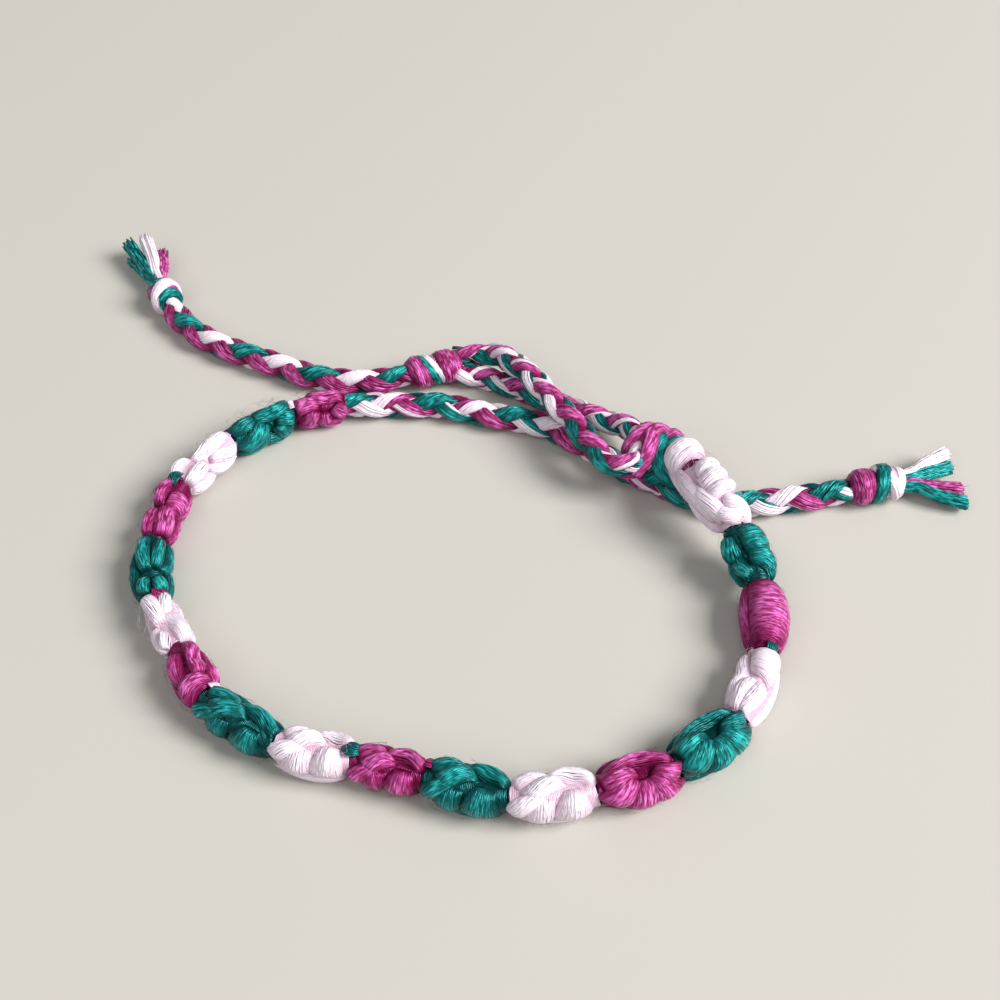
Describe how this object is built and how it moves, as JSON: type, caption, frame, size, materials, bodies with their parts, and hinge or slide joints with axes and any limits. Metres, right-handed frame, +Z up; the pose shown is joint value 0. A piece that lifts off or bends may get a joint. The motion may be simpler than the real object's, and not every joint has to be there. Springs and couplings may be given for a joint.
{
  "type": "friendship bracelet",
  "caption": "Knotted cotton friendship bracelet lying open as a loop, with fat knots in pink, green and magenta, a plaited eye and two plaited ties that end in tassels.",
  "frame": {"origin": "centre of the knotted band's bounding box, on the surface that the bracelet lies on", "axes": "+Z up from that surface; +Y away from the viewer, to the rear of the loop where the eye and the ties lie; +X to the viewer's right"},
  "size_m": [0.1002, 0.0843, 0.0089],
  "materials": {
    "pink_floss": "soft sheen of mercerised cotton floss",
    "green_floss": "soft sheen of mercerised cotton floss",
    "magenta_floss": "soft sheen of mercerised cotton floss"
  },
  "bodies": {
    "root": {"band_knot_01": "pink_floss", "band_knot_02": "green_floss", "band_knot_03": "magenta_floss", "band_knot_04": "pink_floss", "band_knot_05": "green_floss", "band_knot_06": "magenta_floss", "band_knot_07": "pink_floss", "band_knot_08": "green_floss", "band_knot_09": "magenta_floss", "band_knot_10": "pink_floss", "band_knot_11": "green_floss", "band_knot_12": "magenta_floss", "band_knot_13": "pink_floss", "band_knot_14": "green_floss", "band_knot_15": "magenta_floss", "band_knot_16": "pink_floss", "band_knot_17": "green_floss", "band_knot_18": "magenta_floss", "core_threads": "green_floss", "end_lashing": "magenta_floss", "eye_plait": "magenta_floss", "eye_knot": "magenta_floss", "tie_left": "green_floss", "tie_right": "green_floss", "stop_knot_left": "pink_floss", "stop_knot_right": "magenta_floss", "tassel_left": "pink_floss", "tassel_right": "green_floss"}
  },
  "joints": []
}
